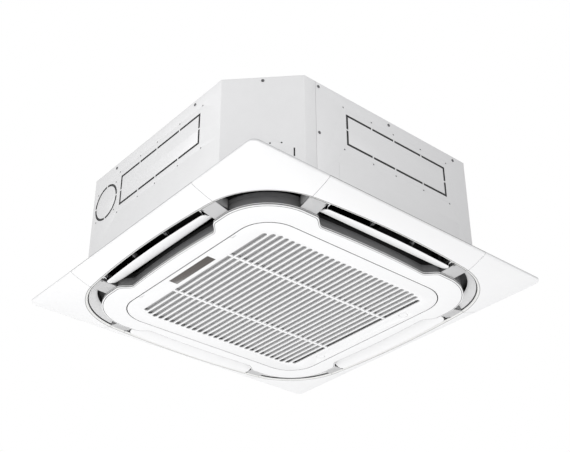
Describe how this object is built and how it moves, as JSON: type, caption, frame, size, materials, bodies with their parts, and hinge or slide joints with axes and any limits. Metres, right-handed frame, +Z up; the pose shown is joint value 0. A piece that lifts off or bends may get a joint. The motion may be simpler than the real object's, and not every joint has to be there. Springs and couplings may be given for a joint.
{
  "type": "ceiling cassette air conditioner",
  "caption": "Four-way ceiling cassette: a sheet metal casing over a square panel with a hinged intake grille and a swinging air flap on each side.",
  "frame": {"origin": "midway between the four hanger slots, at the upper face of their lugs", "axes": "+Z up towards the slab that it hangs from, +X towards the side of the panel with the push latches, the grille's hinge is on the -X side"},
  "size_m": [0.95, 0.95, 0.354],
  "materials": {
    "sheet_metal": "satin",
    "bright_steel": "satin",
    "foam_dark": "matte",
    "fins": "satin",
    "copper": "satin",
    "brass": "satin",
    "rubber_black": "matte",
    "plastic_grey": "satin",
    "plastic_white_inner": "satin",
    "board": "satin",
    "panel_white": "satin",
    "throat_dark": "satin",
    "mesh_net": "matte",
    "window_dark": "gloss"
  },
  "bodies": {
    "root": {"top_plate": "sheet_metal", "casing_sheet_left": "sheet_metal", "casing_sheet_front": "sheet_metal", "casing_sheet_right": "sheet_metal", "casing_sheet_back": "sheet_metal", "casing_screws": "bright_steel", "hanger_brackets": "bright_steel", "hanger_bolts": "bright_steel", "wall_liner": "foam_dark", "top_liner": "foam_dark", "coil_fins": "fins", "coil_end_plates": "bright_steel", "coil_return_bends": "copper", "gas_header": "copper", "liquid_header": "copper", "gas_pipe": "copper", "liquid_pipe": "copper", "flare_nuts": "brass", "pipe_cover_plate": "sheet_metal", "cable_bush": "rubber_black", "drain_pan": "foam_dark", "drain_pump": "plastic_white_inner", "pump_bracket": "bright_steel", "drain_socket": "plastic_grey", "float_stem": "plastic_white_inner", "bell_mouth": "sheet_metal", "fan_motor": "bright_steel", "motor_grommets": "rubber_black", "motor_studs": "bright_steel", "control_box": "sheet_metal", "control_box_cover": "sheet_metal", "circuit_board": "board", "terminal_block": "plastic_white_inner", "panel_frame": "panel_white", "corner_covers": "panel_white", "centre_frame": "panel_white", "bridge_plates": "plastic_grey", "throat_wall": "throat_dark", "corner_deflectors": "panel_white", "duct_foam": "foam_dark", "panel_seal": "foam_dark", "panel_screws": "bright_steel", "flap_motors": "bright_steel", "flap_bearings": "throat_dark", "hinge_blocks": "panel_white"},
    "fan": {"turbo_fan": "plastic_white_inner", "fan_shaft": "bright_steel", "fan_nut": "bright_steel"},
    "impeller": {"pump_impeller": "plastic_white_inner"},
    "float": {"float_ring": "plastic_white_inner"},
    "grille": {"intake_grille": "panel_white", "filter_frame": "plastic_grey", "filter_mesh": "mesh_net", "display_window": "window_dark"},
    "button_left": {"latch_button_left": "panel_white"},
    "button_right": {"latch_button_right": "panel_white"},
    "flap_front": {"flap_front": "panel_white"},
    "flap_right": {"flap_right": "panel_white"},
    "flap_back": {"flap_back": "panel_white"},
    "flap_left": {"flap_left": "panel_white"}
  },
  "joints": [
    {"name": "fan_spin", "type": "hinge", "parent": "root", "child": "fan", "pos_m": [0, 0, 0.14], "axis": [0, 0, 1], "continuous": true},
    {"name": "pump_spin", "type": "hinge", "parent": "root", "child": "impeller", "pos_m": [0.28638, 0.28638, 0.01], "axis": [0, 0, 1], "continuous": true},
    {"name": "float_rise", "type": "slide", "parent": "root", "child": "float", "axis": [0, 0, 1], "range_m": [0, 0.012]},
    {"name": "grille_hinge", "type": "hinge", "parent": "root", "child": "grille", "pos_m": [-0.305, 0, -0.1165], "axis": [0, 1, 0], "range_deg": [0, 75]},
    {"name": "latch_left_push", "type": "slide", "parent": "grille", "child": "button_left", "axis": [0, 0, 1], "range_m": [0, 0.004], "stiffness_N_per_m": 300, "springref_m": -0.002},
    {"name": "latch_right_push", "type": "slide", "parent": "grille", "child": "button_right", "axis": [0, 0, 1], "range_m": [0, 0.004], "stiffness_N_per_m": 300, "springref_m": -0.002},
    {"name": "flap_back_swing", "type": "hinge", "parent": "root", "child": "flap_back", "pos_m": [0, 0.409, -0.0915], "axis": [1, 0, 0], "range_deg": [-8, 33]},
    {"name": "flap_left_swing", "type": "hinge", "parent": "root", "child": "flap_left", "pos_m": [-0.409, 0, -0.0915], "axis": [0, 1, 0], "range_deg": [-8, 33]},
    {"name": "flap_front_swing", "type": "hinge", "parent": "root", "child": "flap_front", "pos_m": [0, -0.409, -0.0915], "axis": [-1, 0, 0], "range_deg": [-8, 33]},
    {"name": "flap_right_swing", "type": "hinge", "parent": "root", "child": "flap_right", "pos_m": [0.409, 0, -0.0915], "axis": [0, -1, 0], "range_deg": [-8, 33]}
  ]
}
